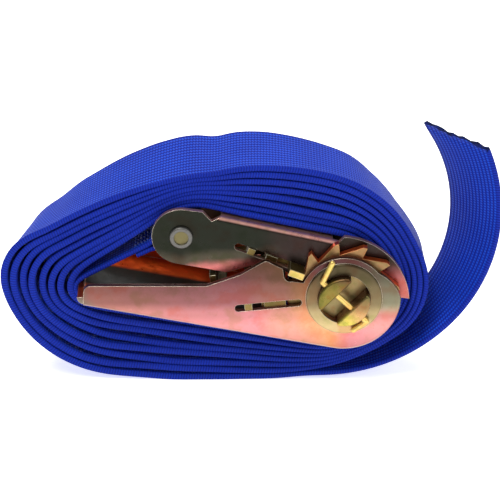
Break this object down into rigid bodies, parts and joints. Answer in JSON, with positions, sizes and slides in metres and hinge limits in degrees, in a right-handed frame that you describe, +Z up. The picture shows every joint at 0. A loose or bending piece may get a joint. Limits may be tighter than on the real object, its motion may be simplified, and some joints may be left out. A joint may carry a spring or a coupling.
{
  "type": "ratchet tie down",
  "caption": "Endless ratchet tie down: a folding steel ratchet buckle with a toothed spindle, lying inside the coil of its own flat webbing strap.",
  "frame": {"origin": "centre of the bounding box's bottom face: the middle of the ratchet's width, on the flat underside of the coil", "axes": "+X along the ratchet from the handle's tip towards the wheels, Y along the spindle, +Z up"},
  "size_m": [0.1424, 0.048, 0.0751],
  "materials": {
    "zinc_frame": "yellow iridescent zinc passivate on stamped steel, olive and rose sheen",
    "zinc_handle": "yellow iridescent zinc passivate on stamped steel, pink and gold sheen",
    "zinc_spindle": "yellow iridescent zinc passivate on steel, gold and green sheen",
    "zinc_wheel": "yellow iridescent zinc passivate on steel, copper sheen on the teeth",
    "zinc_pawl": "yellow iridescent zinc passivate on steel, gold sheen",
    "spring_steel": "plain drawn spring wire",
    "rivet_steel": "clear zinc-plated steel, flared head",
    "blue_webbing": "woven polyester webbing, royal blue"
  },
  "bodies": {
    "frame": {"frame_channel": "zinc_frame", "anchor_rivet": "rivet_steel", "anchor_sleeve": "rivet_steel", "frame_spring_seat": "zinc_pawl", "frame_pawl_spring": "spring_steel", "webbing_loop": "blue_webbing", "webbing_lead": "blue_webbing"},
    "handle": {"handle_channel": "zinc_handle", "handle_spring_seat": "zinc_pawl", "handle_pawl_spring": "spring_steel"},
    "spindle": {"spindle_half_upper": "zinc_spindle", "spindle_half_lower": "zinc_spindle", "ratchet_wheel_front": "zinc_wheel", "ratchet_wheel_rear": "zinc_wheel", "split_pin_front": "zinc_pawl", "split_pin_rear": "zinc_pawl"},
    "frame_pawl": {"frame_pawl": "zinc_pawl"},
    "handle_pawl": {"handle_pawl": "zinc_pawl"},
    "coil": {"webbing_coil": "blue_webbing", "webbing_tail": "blue_webbing"}
  },
  "joints": [
    {"name": "handle_swing", "type": "hinge", "parent": "frame", "child": "handle", "pos_m": [0.0265, 0, 0.03], "axis": [0, -1, 0], "range_deg": [0, 158], "deforming": ["webbing_coil", "webbing_tail", "webbing_lead"]},
    {"name": "spindle_spin", "type": "hinge", "parent": "frame", "child": "spindle", "pos_m": [0.0265, 0, 0.03], "axis": [0, -1, 0], "continuous": true},
    {"name": "frame_pawl_slide", "type": "slide", "parent": "frame", "child": "frame_pawl", "axis": [-0.9323, 0, 0.3616], "range_m": [0, 0.0034], "deforming": ["frame_pawl_spring"]},
    {"name": "handle_pawl_pull", "type": "slide", "parent": "handle", "child": "handle_pawl", "axis": [-0.9945, 0, -0.1045], "range_m": [0, 0.0025], "stiffness_N_per_m": 500, "springref_m": -0.004, "deforming": ["handle_pawl_spring"]},
    {"name": "coil_slip", "type": "slide", "parent": "frame", "child": "coil", "axis": [0, 1, 0], "range_m": [0, 0.0361]}
  ],
  "couplings": [
    {"joint": "frame_pawl_slide", "follows": "handle_swing", "m_per_rad": 0.0011967},
    {"joint": "coil_slip", "follows": "handle_swing", "m_per_rad": 0.013055}
  ]
}
